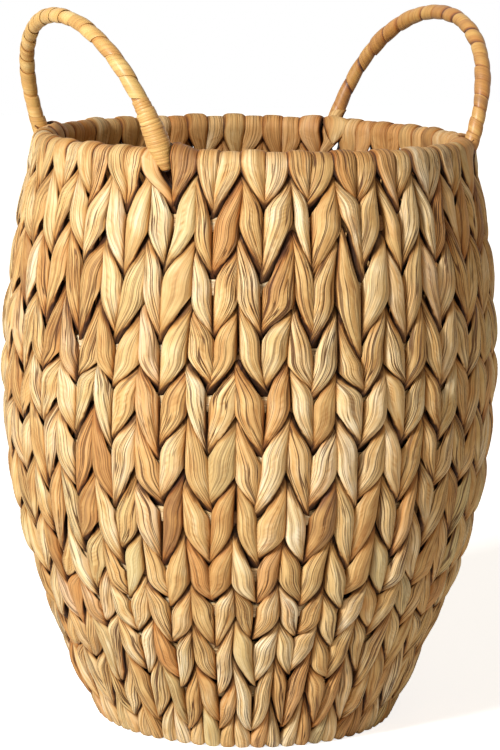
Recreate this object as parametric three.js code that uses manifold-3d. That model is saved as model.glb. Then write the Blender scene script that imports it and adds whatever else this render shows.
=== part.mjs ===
// A tall barrel-shaped laundry basket of water hyacinth leaf, twined on a welded wire frame.
//
// The frame is a wire ring at the rim and one at the foot, eight upright wires between them, flat
// leaf-covered hoops at every weave row, and a cross of wires in the foot ring. Pairs of leaf strands
// run down the wall: at each hoop one strand of a pair passes outside and the other inside. The strands
// that lie outside the hoops are one layer of solid here and the strands that lie inside are another.
// At the rim and at the foot the strands fold round the wire ring. Two bent rods, welded outside the rim
// ring and wound with leaf, are the handles. Nothing on the basket moves.
//
// Units are millimetres and degrees, +Z is up, the handles stand on the +X and -X sides, and the origin
// is the middle of the face that the basket stands on.

import * as THREE from "three";
import { mergeVertices } from "three/addons/utils/BufferGeometryUtils.js";
import Module from "manifold-3d";

// Body outline, measured to the outside of the leaves
const BODY_HEIGHT = 516;
const RIM_RADIUS = 189;
const BELLY_RADIUS = 215;
const BELLY_HEIGHT = 300;
const FOOT_RADIUS = 124;

// Weave
const LEAF_COLUMNS = 62;
// Heights of the weave rows down the wall, from the rim to the foot, uneven as the rows of a hand-made
// basket are. A hoop lies between each two rows, and the rows share out the whole wall in this ratio.
const ROW_HEIGHTS = [58, 52, 56, 40, 50, 48, 52, 35, 40, 47, 57.6];
const OUTER_LEAF_THICKNESS = 6.5;
const INNER_LEAF_THICKNESS = 4;
const LEAF_RELIEF = 3.6;
const LEAF_SLANT = 13;
const FOLD_LEG_LENGTH = 20;
const RIM_STRAP_RELIEF = 1.6;

// Wire frame
const HOOP_WIDTH = 10;
const HOOP_THICKNESS = 5;
const RING_WIRE_RADIUS = 2.5;
const UPRIGHT_RADIUS = 2;
const UPRIGHT_COUNT = 8;
const UPRIGHT_BEND_LENGTH = 26;
const CROSS_WIRE_RADIUS = 2;

// Base
const BASE_LAYER_THICKNESS = 4.5;
const FOOT_LIP_WIDTH = 6.5;

// Handles
const HANDLE_ROD_RADIUS = 3.8;
const HANDLE_LEAF_THICKNESS = 2;
const HANDLE_FOOT_ANGLE = 39;
const HANDLE_FOOT_DROP = 8;
const HANDLE_RISE = 128;
const HANDLE_LEAN = 20;
const HANDLE_FULLNESS = 0.8;
const HANDLE_WRAP_TURNS = 22;
const HANDLE_WRAP_SEAM = 0.8;
const HANDLE_WRAP_SHINGLE = 0.9;
const LASHING_HEIGHT = 11;
const LASHING_LENGTH = 34;
const LASHING_THICKNESS = 2.6;

// Clearances and facets
const GAP = 0.3;
const HOOP_GAP = 0.6;
const WRAP_GAP = 0.7;
const RING_SIDES = 6;
const FACETS = LEAF_COLUMNS / 2;
const ROD_STEPS = 32;
const ROD_SIDES = 6;
const LASHING_SIDES = 12;

const wasm = await Module();
wasm.setup();

const radians = THREE.MathUtils.degToRad;

// Colours of the pieces
const leafPale = new THREE.MeshStandardMaterial({ color: 0xd6b277, roughness: 0.72, metalness: 0 });
const leafDeep = new THREE.MeshStandardMaterial({ color: 0xb98a4e, roughness: 0.75, metalness: 0 });
const leafGolden = new THREE.MeshStandardMaterial({ color: 0xd3a462, roughness: 0.55, metalness: 0 });
const hoopLeaf = new THREE.MeshStandardMaterial({ color: 0xdcc092, roughness: 0.7, metalness: 0 });
const ironWire = new THREE.MeshStandardMaterial({ color: 0x3a3734, roughness: 0.5, metalness: 0.8 });

// The wall's outline in the (radius, height) plane, from the rim down to the foot: two parabolas that
// meet at the belly, where both are upright.
const wallLine = new THREE.Path();
wallLine.moveTo(RIM_RADIUS, BODY_HEIGHT);
wallLine.quadraticCurveTo(BELLY_RADIUS, (BODY_HEIGHT + BELLY_HEIGHT) / 2, BELLY_RADIUS, BELLY_HEIGHT);
wallLine.quadraticCurveTo(BELLY_RADIUS, BELLY_HEIGHT / 2, FOOT_RADIUS, 0);
wallLine.arcLengthDivisions = 2000;
const wallLength = wallLine.getLength();

// A point of the wall's section: station is the distance down the outline from the rim, and depth is
// the distance inward from the outline, square to it.
function wallPoint(station, depth) {
  const share = THREE.MathUtils.clamp(station / wallLength, 0, 1);
  const point = wallLine.getPointAt(share);
  const down = wallLine.getTangentAt(share);
  return new THREE.Vector2(point.x + down.y * depth, point.y - down.x * depth);
}

// The direction square to the outline, outward, as an angle in the (radius, height) plane.
function outwardAngle(station) {
  const down = wallLine.getTangentAt(THREE.MathUtils.clamp(station / wallLength, 0, 1));
  return Math.atan2(down.x, -down.y);
}

// The station at which a line that lies at this depth has this height.
function stationAtHeight(height, depth) {
  let above = 0;
  let below = wallLength;
  for (let step = 0; step < 50; step++) {
    const middle = (above + below) / 2;
    if (wallPoint(middle, depth).y > height) above = middle;
    else below = middle;
  }
  return (above + below) / 2;
}

// Depths of the layers, from the outside in
const hoopOuterDepth = OUTER_LEAF_THICKNESS + HOOP_GAP;
const hoopInnerDepth = hoopOuterDepth + HOOP_THICKNESS;
const uprightDepth = hoopInnerDepth + GAP + UPRIGHT_RADIUS;
const innerLeafDepth = uprightDepth + UPRIGHT_RADIUS + GAP;
const wallDepth = innerLeafDepth + INNER_LEAF_THICKNESS;
const ringDepth = OUTER_LEAF_THICKNESS + GAP + RING_WIRE_RADIUS;

// The two wire rings lie one leaf thickness inside the top and the bottom of the body.
const rimRingStation = stationAtHeight(BODY_HEIGHT - ringDepth, ringDepth);
const rimRing = wallPoint(rimRingStation, ringDepth);
const footRingStation = stationAtHeight(ringDepth, ringDepth);
const footRing = wallPoint(footRingStation, ringDepth);

// The wall layers run from the rim fold down to the foot fold, with a row line at each hoop.
const weaveTop = rimRingStation + FOLD_LEG_LENGTH;
const weaveBottom = footRingStation - FOLD_LEG_LENGTH;
const rowScale = wallLength / ROW_HEIGHTS.reduce((sum, height) => sum + height, 0);
const hoopStations = [];
for (const height of ROW_HEIGHTS.slice(0, -1)) {
  hoopStations.push((hoopStations.at(-1) ?? 0) + height * rowScale);
}
const rowStations = [weaveTop, ...hoopStations, weaveBottom];

// Turns an outline in the (radius, height) plane once round the Z axis, with its first facet line on +X.
function lathed(outline, segments) {
  return new THREE.LatheGeometry(outline, segments).rotateX(Math.PI / 2).rotateZ(Math.PI / 2);
}

function turned(outline, segments) {
  const ordered = THREE.ShapeUtils.area(outline) > 0 ? outline : [...outline].reverse();
  return lathed([...ordered, ordered[0].clone()], segments);
}

function circleOutline(centre, radius, sides) {
  const outline = [];
  for (let side = 0; side < sides; side++) {
    const angle = (2 * Math.PI * side) / sides;
    outline.push(new THREE.Vector2(centre.x + radius * Math.cos(angle), centre.y + radius * Math.sin(angle)));
  }
  return outline;
}

function arcPoints(centre, radius, fromAngle, toAngle, steps) {
  const points = [];
  for (let step = 0; step <= steps; step++) {
    const angle = fromAngle + ((toAngle - fromAngle) * step) / steps;
    points.push(new THREE.Vector2(centre.x + radius * Math.cos(angle), centre.y + radius * Math.sin(angle)));
  }
  return points;
}

// A round bar that follows a curve, cut square at both ends.
function bar(curve, radius, sides, steps) {
  const section = new THREE.Shape(circleOutline(new THREE.Vector2(0, 0), radius, sides));
  return new THREE.ExtrudeGeometry(section, { steps, extrudePath: curve, bevelEnabled: false });
}

// manifold-3d joins and cuts closed meshes; these two turn a geometry into its solid and back.
function solidOf(geometry) {
  const bare = geometry.clone();
  bare.deleteAttribute("normal");
  bare.deleteAttribute("uv");
  const merged = mergeVertices(bare, 1e-4);
  return new wasm.Manifold(
    new wasm.Mesh({
      numProp: 3,
      vertProperties: new Float32Array(merged.attributes.position.array),
      triVerts: new Uint32Array(merged.index.array),
    }),
  );
}

function geometryOf(solid) {
  const mesh = solid.getMesh();
  const geometry = new THREE.BufferGeometry();
  geometry.setAttribute("position", new THREE.BufferAttribute(new Float32Array(mesh.vertProperties), 3));
  geometry.setIndex(new THREE.BufferAttribute(new Uint32Array(mesh.triVerts), 1));
  geometry.computeVertexNormals();
  return geometry;
}

const basket = new THREE.Group();

function addPiece(name, geometry, material) {
  const piece = new THREE.Mesh(geometry, material);
  piece.name = name;
  basket.add(piece);
  return piece;
}

// The outer leaves: a closed shell whose outside has one raised leaf in each cell of the weave. The
// lines between columns are creases, and the row lines climb and fall from crease to crease, so that
// neighbouring leaves slant opposite ways and meet in points, as the twined pairs do. The leaves meet
// lowest on the even creases, the first of which is on +X.
function outerWeaveGeometry() {
  const positions = [];
  const corner = [];
  const crown = [];
  const back = [];
  const push = (point, turn) => {
    const angle = (2 * Math.PI * turn) / LEAF_COLUMNS;
    positions.push(point.x * Math.cos(angle), point.x * Math.sin(angle), point.y);
    return positions.length / 3 - 1;
  };
  rowStations.forEach((station, row) => {
    const edge = row === 0 || row === rowStations.length - 1;
    corner.push([]);
    crown.push([]);
    back.push([]);
    for (let column = 0; column < LEAF_COLUMNS; column++) {
      const slant = edge ? 0 : (column % 2 ? -1 : 1) * (LEAF_SLANT / 2);
      corner[row].push(push(wallPoint(station + slant, LEAF_RELIEF), column));
      if (column % 2 === 0) back[row].push(push(wallPoint(station, OUTER_LEAF_THICKNESS), column));
      if (row < rowStations.length - 1) {
        const middle = (station + rowStations[row + 1]) / 2;
        crown[row].push(push(wallPoint(middle, 0), column + 0.5));
      }
    }
  });
  const faces = [];
  const last = rowStations.length - 1;
  for (let column = 0; column < LEAF_COLUMNS; column++) {
    const next = (column + 1) % LEAF_COLUMNS;
    for (let row = 0; row < last; row++) {
      const around = [corner[row][column], corner[row + 1][column], corner[row + 1][next], corner[row][next]];
      around.forEach((vertex, side) => faces.push(vertex, around[(side + 1) % 4], crown[row][column]));
    }
    const nearest = Math.floor((column + 1) / 2) % FACETS;
    faces.push(corner[0][column], corner[0][next], back[0][nearest]);
    faces.push(corner[last][next], corner[last][column], back[last][nearest]);
  }
  for (let facet = 0; facet < FACETS; facet++) {
    const next = (facet + 1) % FACETS;
    for (let row = 0; row < last; row++) {
      faces.push(back[row][facet], back[row][next], back[row + 1][next]);
      faces.push(back[row][facet], back[row + 1][next], back[row + 1][facet]);
    }
    const between = 2 * facet + 1;
    faces.push(corner[0][between], back[0][next], back[0][facet]);
    faces.push(corner[last][between], back[last][facet], back[last][next]);
  }
  const geometry = new THREE.BufferGeometry();
  geometry.setAttribute("position", new THREE.Float32BufferAttribute(positions, 3));
  geometry.setIndex(faces);
  geometry.computeVertexNormals();
  return geometry;
}

// The inner leaves: a plain shell that stands on the base and reaches up to the rim fold.
const innerWeaveBottom = stationAtHeight(
  ringDepth + CROSS_WIRE_RADIUS + GAP + BASE_LAYER_THICKNESS + GAP,
  innerLeafDepth,
);
function innerWeaveOutline() {
  const stations = [weaveTop, ...hoopStations, innerWeaveBottom];
  const outside = stations.map((station) => wallPoint(station, innerLeafDepth));
  const inside = stations.map((station) => wallPoint(station, wallDepth));
  return [...outside, ...inside.reverse()];
}

// A flat hoop lies in the wall with its face along the outline.
function hoopOutline(station) {
  const upper = station - HOOP_WIDTH / 2;
  const lower = station + HOOP_WIDTH / 2;
  return [
    wallPoint(upper, hoopOuterDepth),
    wallPoint(lower, hoopOuterDepth),
    wallPoint(lower, hoopInnerDepth),
    wallPoint(upper, hoopInnerDepth),
  ];
}

// An upright wire runs inside the hoops and bends outward at both ends, where it butts on the rings.
function uprightPoints(angle) {
  const first = rimRingStation + RING_WIRE_RADIUS + GAP;
  const final = footRingStation - RING_WIRE_RADIUS - GAP;
  const stations = [
    first,
    first + UPRIGHT_BEND_LENGTH,
    ...hoopStations.filter(
      (station) => station > first + 1.5 * UPRIGHT_BEND_LENGTH && station < final - 1.5 * UPRIGHT_BEND_LENGTH,
    ),
    final - UPRIGHT_BEND_LENGTH,
    final,
  ];
  return stations.map((station, index) => {
    const end = index === 0 || index === stations.length - 1;
    const point = wallPoint(station, end ? ringDepth : uprightDepth);
    return new THREE.Vector3(point.x * Math.cos(angle), point.x * Math.sin(angle), point.y);
  });
}

// A wire through chosen points with a mitred corner at each, square at both ends.
function mitredWire(points, radius, sides, sideways) {
  const positions = [];
  const faces = [];
  points.forEach((point, index) => {
    const before = points[Math.max(index - 1, 0)];
    const after = points[Math.min(index + 1, points.length - 1)];
    const along = after.clone().sub(before).normalize();
    const out = new THREE.Vector3().crossVectors(along, sideways).normalize();
    for (let side = 0; side < sides; side++) {
      const angle = (2 * Math.PI * side) / sides;
      const spot = point
        .clone()
        .addScaledVector(out, radius * Math.cos(angle))
        .addScaledVector(sideways, radius * Math.sin(angle));
      positions.push(spot.x, spot.y, spot.z);
    }
  });
  const last = (points.length - 1) * sides;
  for (let side = 0; side < sides; side++) {
    const next = (side + 1) % sides;
    for (let ring = 0; ring < last; ring += sides) {
      faces.push(ring + side, ring + sides + side, ring + sides + next);
      faces.push(ring + side, ring + sides + next, ring + next);
    }
    if (side > 0 && next > 0) {
      faces.push(0, side, next);
      faces.push(last, last + next, last + side);
    }
  }
  const geometry = new THREE.BufferGeometry();
  geometry.setAttribute("position", new THREE.Float32BufferAttribute(positions, 3));
  geometry.setIndex(faces);
  geometry.computeVertexNormals();
  return geometry;
}

// The strands fold over the rim ring: an outer leg, a round top and an inner leg.
const cavityRadius = (RING_WIRE_RADIUS + GAP) / Math.cos(Math.PI / 8);
function rimFoldOutline() {
  const outward = outwardAngle(rimRingStation);
  const inward = Math.PI;
  const legEnd = weaveTop - GAP;
  return [
    wallPoint(legEnd, 0),
    ...arcPoints(rimRing, ringDepth, outward, inward, 4),
    wallPoint(legEnd, wallDepth),
    wallPoint(legEnd, innerLeafDepth),
    ...arcPoints(rimRing, cavityRadius, inward, outward, 3),
    wallPoint(legEnd, OUTER_LEAF_THICKNESS),
  ];
}

// Each pair of strands makes one rounded strap over the rim, so every other facet line is drawn in.
function strapRelief(geometry) {
  const position = geometry.attributes.position;
  for (let index = 0; index < position.count; index++) {
    const spot = new THREE.Vector3().fromBufferAttribute(position, index);
    const turn = (Math.atan2(spot.y, spot.x) * LEAF_COLUMNS) / (2 * Math.PI);
    const crease = Math.abs(Math.round(turn)) % 2 === 1;
    const above = spot.z - rimRing.y;
    const fromRing = Math.hypot(spot.x, spot.y) - rimRing.x;
    const onTop = Math.hypot(above, fromRing) > ringDepth - GAP && above > -GAP;
    if (crease && onTop) {
      const shrink = 1 - RIM_STRAP_RELIEF / Math.hypot(above, fromRing);
      const radius = rimRing.x + fromRing * shrink;
      const scale = radius / Math.hypot(spot.x, spot.y);
      position.setXYZ(index, spot.x * scale, spot.y * scale, rimRing.y + above * shrink);
    }
  }
  return geometry;
}

// The strands fold under the foot ring, with a flat sole and a low lip inside.
const lipTop = ringDepth - CROSS_WIRE_RADIUS - GAP;
const lipOuterRadius = footRing.x - RING_WIRE_RADIUS - GAP;
const lipInnerRadius = lipOuterRadius - FOOT_LIP_WIDTH;
function footFoldOutline() {
  const legEnd = weaveBottom + GAP;
  const soleRound = OUTER_LEAF_THICKNESS / 2;
  const outward = outwardAngle(footRingStation);
  return [
    wallPoint(legEnd, OUTER_LEAF_THICKNESS),
    ...arcPoints(footRing, cavityRadius, outward, -Math.PI / 2 - Math.PI / 6, 3),
    new THREE.Vector2(lipOuterRadius, lipTop),
    new THREE.Vector2(lipInnerRadius, lipTop),
    new THREE.Vector2(lipInnerRadius, soleRound),
    new THREE.Vector2(lipInnerRadius + soleRound, 0),
    new THREE.Vector2(footRing.x, 0),
    ...arcPoints(footRing, ringDepth, -Math.PI / 3, outward, 2),
    wallPoint(legEnd, 0),
  ];
}

// A disc with a small bevel, standing on a height.
function disc(radius, bottom, thickness) {
  const bevel = thickness / 4;
  const outline = [
    new THREE.Vector2(0, bottom),
    new THREE.Vector2(radius - bevel, bottom),
    new THREE.Vector2(radius, bottom + bevel),
    new THREE.Vector2(radius, bottom + thickness - bevel),
    new THREE.Vector2(radius - bevel, bottom + thickness),
    new THREE.Vector2(0, bottom + thickness),
  ];
  return lathed(outline, FACETS);
}

// A handle's centre line: an arch in a plane that leans outward, from foot to foot.
const footAngle = radians(HANDLE_FOOT_ANGLE);
const lean = radians(HANDLE_LEAN);
const weldRadius = rimRing.x + RING_WIRE_RADIUS + GAP + HANDLE_ROD_RADIUS;
const footRadius = weldRadius - HANDLE_FOOT_DROP * Math.tan(lean) * Math.cos(footAngle);
const handleFootHeight = rimRing.y - HANDLE_FOOT_DROP;
const handleHalfSpan = footRadius * Math.sin(footAngle);
const handleBase = footRadius * Math.cos(footAngle);

class HandleArch extends THREE.Curve {
  getPoint(share) {
    const angle = Math.PI * share;
    const climb = HANDLE_RISE * Math.pow(Math.max(Math.sin(angle), 0), HANDLE_FULLNESS);
    return new THREE.Vector3(
      handleBase + climb * Math.sin(lean),
      -handleHalfSpan * Math.cos(angle),
      handleFootHeight + climb * Math.cos(lean),
    );
  }
}
const handleArch = new HandleArch();
handleArch.arcLengthDivisions = 2000;
const handleLength = handleArch.getLength();
const handlePlaneNormal = new THREE.Vector3(-Math.cos(lean), 0, Math.sin(lean));

// A point beside the arch, at a distance along it, a radius from it and an angle round it.
function besideHandle(distance, radius, angle) {
  const share = THREE.MathUtils.clamp(distance / handleLength, 0, 1);
  const point = handleArch.getPointAt(share);
  const along = handleArch.getTangentAt(share);
  const across = new THREE.Vector3().crossVectors(handlePlaneNormal, along).normalize();
  return point
    .addScaledVector(across, radius * Math.cos(angle))
    .addScaledVector(handlePlaneNormal, radius * Math.sin(angle));
}

// The leaf is wound round the rod as one flat strip, thicker along one edge than the other, so that
// each turn stands a little over the next. It starts and ends just above the rim ring.
const wrapInnerRadius = HANDLE_ROD_RADIUS + WRAP_GAP;
const wrapRadius = wrapInnerRadius + HANDLE_LEAF_THICKNESS;
const wrapClearOfRing = HANDLE_FOOT_DROP + RING_WIRE_RADIUS + wrapRadius * Math.sin(lean) + 2 * GAP;
const WRAP_STEPS = 8;
function handleWrapGeometry() {
  const start = wrapClearOfRing / Math.cos(lean);
  const usable = handleLength - 2 * start;
  const pitch = usable / (HANDLE_WRAP_TURNS + 1);
  const half = (pitch - HANDLE_WRAP_SEAM) / 2;
  const steps = HANDLE_WRAP_TURNS * WRAP_STEPS;
  const positions = [];
  const faces = [];
  const leading = [];
  const trailing = [];
  for (let step = 0; step <= steps; step++) {
    const turn = step / WRAP_STEPS;
    const angle = 2 * Math.PI * turn;
    const centre = start + pitch / 2 + pitch * turn;
    const corners = [
      besideHandle(centre - half, wrapInnerRadius, angle),
      besideHandle(centre + half, wrapInnerRadius, angle),
      besideHandle(centre + half, wrapRadius, angle),
      besideHandle(centre - half, wrapRadius - HANDLE_WRAP_SHINGLE, angle),
    ];
    corners.forEach((spot) => positions.push(spot.x, spot.y, spot.z));
    trailing.push(corners[3], corners[0]);
    leading.push(corners[1], corners[2]);
    if (step < steps) {
      const ring = 4 * step;
      for (let side = 0; side < 4; side++) {
        const next = (side + 1) % 4;
        faces.push(ring + side, ring + 4 + next, ring + 4 + side);
        faces.push(ring + side, ring + next, ring + 4 + next);
      }
    }
  }
  const last = 4 * steps;
  faces.push(0, 2, 1, 0, 3, 2, last, last + 1, last + 2, last, last + 2, last + 3);
  let leastGap = Infinity;
  for (let index = 0; index + 2 * WRAP_STEPS < trailing.length; index++) {
    for (let shift = -2; shift <= 2; shift++) {
      const other = trailing[index + 2 * WRAP_STEPS + shift];
      if (other) leastGap = Math.min(leastGap, leading[index].distanceTo(other));
    }
  }
  console.log("least gap between turns of a handle wrap, mm: " + leastGap.toFixed(2));
  const geometry = new THREE.BufferGeometry();
  geometry.setAttribute("position", new THREE.Float32BufferAttribute(positions, 3));
  geometry.setIndex(faces);
  geometry.computeVertexNormals();
  return geometry;
}

// A lashing is a saddle of leaf over the rim where a handle's leg meets it: wide along the rim below,
// and close round the leg above. The rim and the leg are cut out of it.
function lashingSolid(side, rimBody, legBody) {
  const sides = LASHING_SIDES;
  const levels = [
    { height: rimRing.y - GAP, radial: ringDepth + LASHING_THICKNESS, along: LASHING_LENGTH / 2, shift: 0 },
    {
      height: BODY_HEIGHT + LASHING_THICKNESS,
      radial: ringDepth + LASHING_THICKNESS / 2,
      along: LASHING_LENGTH / 3,
      shift: HANDLE_ROD_RADIUS / 2,
    },
    {
      height: BODY_HEIGHT + LASHING_HEIGHT,
      radial: wrapRadius + LASHING_THICKNESS,
      along: wrapRadius + LASHING_THICKNESS,
      shift: 0,
    },
  ];
  const positions = [];
  const faces = [];
  const angle = side * footAngle;
  const radialAxis = new THREE.Vector3(Math.cos(angle), Math.sin(angle), 0);
  const alongAxis = new THREE.Vector3(-Math.sin(angle), Math.cos(angle), 0);
  levels.forEach((level, index) => {
    const climb = (level.height - handleFootHeight) * Math.tan(lean);
    const legCentre = new THREE.Vector3(handleBase + climb, side * handleHalfSpan, level.height);
    const rimCentre = radialAxis.clone().multiplyScalar(rimRing.x + level.shift).setZ(level.height);
    const centre = index === levels.length - 1 ? legCentre : rimCentre;
    for (let corner = 0; corner < sides; corner++) {
      const turn = (2 * Math.PI * corner) / sides;
      const spot = centre
        .clone()
        .addScaledVector(radialAxis, level.radial * Math.cos(turn))
        .addScaledVector(alongAxis, level.along * Math.sin(turn));
      positions.push(spot.x, spot.y, spot.z);
    }
  });
  for (let corner = 0; corner < sides; corner++) {
    const next = (corner + 1) % sides;
    for (let level = 0; level < levels.length - 1; level++) {
      const ring = level * sides;
      faces.push(ring + corner, ring + next, ring + sides + next);
      faces.push(ring + corner, ring + sides + next, ring + sides + corner);
    }
    if (corner > 0 && next > 0) {
      const top = (levels.length - 1) * sides;
      faces.push(0, next, corner);
      faces.push(top, top + corner, top + next);
    }
  }
  const geometry = new THREE.BufferGeometry();
  geometry.setAttribute("position", new THREE.Float32BufferAttribute(positions, 3));
  geometry.setIndex(faces);
  return solidOf(geometry).subtract(rimBody).subtract(legBody);
}

// Wire frame
addPiece("rim_ring", turned(circleOutline(rimRing, RING_WIRE_RADIUS, RING_SIDES), LEAF_COLUMNS), ironWire);
addPiece("foot_ring", turned(circleOutline(footRing, RING_WIRE_RADIUS, RING_SIDES), FACETS), ironWire);
hoopStations.forEach((station, index) => {
  const name = "hoop_" + String(index + 1).padStart(2, "0");
  addPiece(name, turned(hoopOutline(station), FACETS), hoopLeaf);
});
for (let upright = 0; upright < UPRIGHT_COUNT; upright++) {
  const facet = Math.round(((upright + 0.5) * FACETS) / UPRIGHT_COUNT);
  const angle = (2 * Math.PI * facet) / FACETS;
  const sideways = new THREE.Vector3(-Math.sin(angle), Math.cos(angle), 0);
  const wire = mitredWire(uprightPoints(angle), UPRIGHT_RADIUS, RING_SIDES, sideways);
  addPiece("upright_wire_" + (upright + 1), wire, ironWire);
}

// The cross in the foot ring: one wire right across and two halves that butt on it
const crossReach = (footRing.x - RING_WIRE_RADIUS) * Math.cos(Math.PI / FACETS) - GAP;
function crossWire(name, from, to) {
  const [start, end] = [from, to].map((reach) => new THREE.Vector3(0, reach, ringDepth));
  const wire = bar(new THREE.LineCurve3(start, end), CROSS_WIRE_RADIUS, 2 * RING_SIDES, 1);
  return addPiece(name, wire, ironWire);
}
crossWire("cross_wire_long", -crossReach, crossReach).rotation.z = Math.PI / 2;
crossWire("cross_wire_half_1", CROSS_WIRE_RADIUS + GAP, crossReach);
crossWire("cross_wire_half_2", -crossReach, -CROSS_WIRE_RADIUS - GAP);

// Woven base, one layer above the cross and one below it
const upperBaseBottom = ringDepth + CROSS_WIRE_RADIUS + GAP;
const upperBaseRadius = wallPoint(innerWeaveBottom, innerLeafDepth).x - GAP;
addPiece("base_weave_upper", disc(upperBaseRadius, upperBaseBottom, BASE_LAYER_THICKNESS), leafDeep);
const lowerBaseBottom = lipTop - BASE_LAYER_THICKNESS;
addPiece("base_weave_lower", disc(lipInnerRadius - GAP, lowerBaseBottom, BASE_LAYER_THICKNESS), leafDeep);

// Woven wall
addPiece("outer_weave", outerWeaveGeometry(), leafPale);
addPiece("inner_weave", turned(innerWeaveOutline(), FACETS), leafDeep);
addPiece("foot_fold", turned(footFoldOutline(), FACETS), leafPale);

// The rim fold parts round the handles' legs.
const legTube = solidOf(bar(handleArch, wrapRadius + GAP, 2 * ROD_SIDES, ROD_STEPS));
const otherLegTube = legTube.rotate([0, 0, 180]);
const rimFold = solidOf(strapRelief(turned(rimFoldOutline(), LEAF_COLUMNS)));
addPiece("rim_fold", geometryOf(rimFold.subtract(legTube).subtract(otherLegTube)), leafPale);

// Handles
const rod = bar(handleArch, HANDLE_ROD_RADIUS, ROD_SIDES, ROD_STEPS);
const wrap = handleWrapGeometry();
const rollOutline = circleOutline(rimRing, ringDepth + GAP, 16);
const rimBody = solidOf(turned(rollOutline, LEAF_COLUMNS));
const lashings = [-1, 1].map((side) => geometryOf(lashingSolid(side, rimBody, legTube)));
[
  { side: "right", turn: 0 },
  { side: "left", turn: Math.PI },
].forEach(({ side, turn }) => {
  addPiece("handle_rod_" + side, rod, ironWire).rotation.z = turn;
  addPiece("handle_wrap_" + side, wrap, leafGolden).rotation.z = turn;
  lashings.forEach((lashing, index) => {
    addPiece("handle_lashing_" + side + "_" + (index + 1), lashing, leafGolden).rotation.z = turn;
  });
});

export default basket;
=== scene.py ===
# %% [markdown]
# # A laundry basket of twined water hyacinth leaf
#
# The basket is a wire frame dressed in flattened leaf straps. Each strap is folded in half over the
# rim wire, and its two halves run down the wall as a twisted pair: at every hoop one half lies outside
# and the other inside, and they change places halfway to the next hoop. Neighbouring pairs twist
# opposite ways, which gives the columns of stacked V shapes. This script makes the straps, the hoops
# behind them, the base mats and the leaf wound round the handles, and keeps the wires from the frame.
# Lengths are in millimetres until a mesh is made. Camera, lamps and floor are placed in metres.

# %% Load the frame
import math
from functools import partial

import bpy
import numpy as np
from mathutils import Matrix, Vector


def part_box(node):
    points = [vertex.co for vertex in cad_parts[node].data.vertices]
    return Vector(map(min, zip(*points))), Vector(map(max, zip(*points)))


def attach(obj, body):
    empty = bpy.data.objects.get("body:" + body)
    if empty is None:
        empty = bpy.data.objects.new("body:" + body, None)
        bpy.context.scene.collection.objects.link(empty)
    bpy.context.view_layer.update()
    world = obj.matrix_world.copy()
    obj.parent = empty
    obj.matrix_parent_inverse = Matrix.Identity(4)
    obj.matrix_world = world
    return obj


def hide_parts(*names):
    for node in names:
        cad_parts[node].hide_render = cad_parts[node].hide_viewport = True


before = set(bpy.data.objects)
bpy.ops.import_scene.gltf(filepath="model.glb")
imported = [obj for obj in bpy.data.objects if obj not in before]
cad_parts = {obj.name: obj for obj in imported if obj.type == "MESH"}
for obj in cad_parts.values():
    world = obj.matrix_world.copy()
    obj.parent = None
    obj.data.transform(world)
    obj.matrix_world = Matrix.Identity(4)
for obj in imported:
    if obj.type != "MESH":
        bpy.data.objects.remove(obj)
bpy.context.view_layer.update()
bpy.context.scene.view_settings.view_transform = "Standard"
MM = 0.001


def new_object(name, data):
    """An object with this data, put into the scene."""
    made = bpy.data.objects.new(name, data)
    bpy.context.scene.collection.objects.link(made)
    return made


print("nodes in the frame:", len(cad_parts))

# %% [markdown]
# ## The basket's shape
#
# The wall's outline is two parabolas that meet at the belly. Everything in the wall is placed by a
# station, which is the distance down that outline from the rim, and a depth, which is the distance in
# from it. Taking the outline as a dense line and reading it with np.interp keeps every later formula
# to whole arrays.

# %% Outline of the wall
BODY_HEIGHT = 516
RIM_RADIUS = 189
BELLY_RADIUS = 215
BELLY_HEIGHT = 300
FOOT_RADIUS = 124
RING_DEPTH = 9.3
RING_WIRE_RADIUS = 2.5
OUTLINE_STEPS = 1500
STATION_STEPS = 6000


def parabola(start, corner, end):
    """Start and end are pulled towards a corner: (1-t)^2 start + 2t(1-t) corner + t^2 end."""
    share = np.linspace(0, 1, OUTLINE_STEPS)[:, None]
    return (1 - share) ** 2 * start + 2 * share * (1 - share) * corner + share**2 * end


def measured(line):
    """The distance along a line at each of its points, and the line's direction there."""
    distance = np.concatenate([[0], np.cumsum(np.linalg.norm(np.diff(line, axis=0), axis=1))])
    ahead = np.gradient(line, distance, axis=0)
    return distance, ahead / np.linalg.norm(ahead, axis=1, keepdims=True)


def read_line(distance, distances, values):
    """Reads the columns of values, which are known at these distances, at a distance between them."""
    return np.stack([np.interp(distance, distances, column) for column in values.T], axis=-1)


# The upper parabola's start and corner, the point where the two meet, and the lower one's corner and end.
KNOTS = np.array([
    [RIM_RADIUS, BODY_HEIGHT],
    [BELLY_RADIUS, (BODY_HEIGHT + BELLY_HEIGHT) / 2],
    [BELLY_RADIUS, BELLY_HEIGHT],
    [BELLY_RADIUS, BELLY_HEIGHT / 2],
    [FOOT_RADIUS, 0],
])
outline = np.vstack([parabola(*KNOTS[:3]), parabola(*KNOTS[2:])[1:]])
outline_station, outline_down = measured(outline)
wall_length = outline_station[-1]


def wall_down(station):
    """The outline's downward direction at a station."""
    return read_line(station, outline_station, outline_down)


def wall_point(station, depth):
    """The point of the outline at a station, moved inward by a depth square to the outline."""
    down = wall_down(station)
    inward = np.stack([down[..., 1], -down[..., 0]], axis=-1)
    return read_line(station, outline_station, outline) + inward * np.asarray(depth)[..., None]


def wire_station(height):
    """The station where a line at the ring wires' depth has this height."""
    stations = np.linspace(0, wall_length, STATION_STEPS)
    return np.interp(-height, -wall_point(stations, RING_DEPTH)[:, 1], stations)


rim_station = wire_station(BODY_HEIGHT - RING_DEPTH)
foot_station = wire_station(RING_DEPTH)
rim_ring = wall_point(rim_station, RING_DEPTH)
foot_ring = wall_point(foot_station, RING_DEPTH)
print("wall length", round(float(wall_length), 1))
print("rim wire at", rim_ring.round(1), "foot wire at", foot_ring.round(1))

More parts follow.
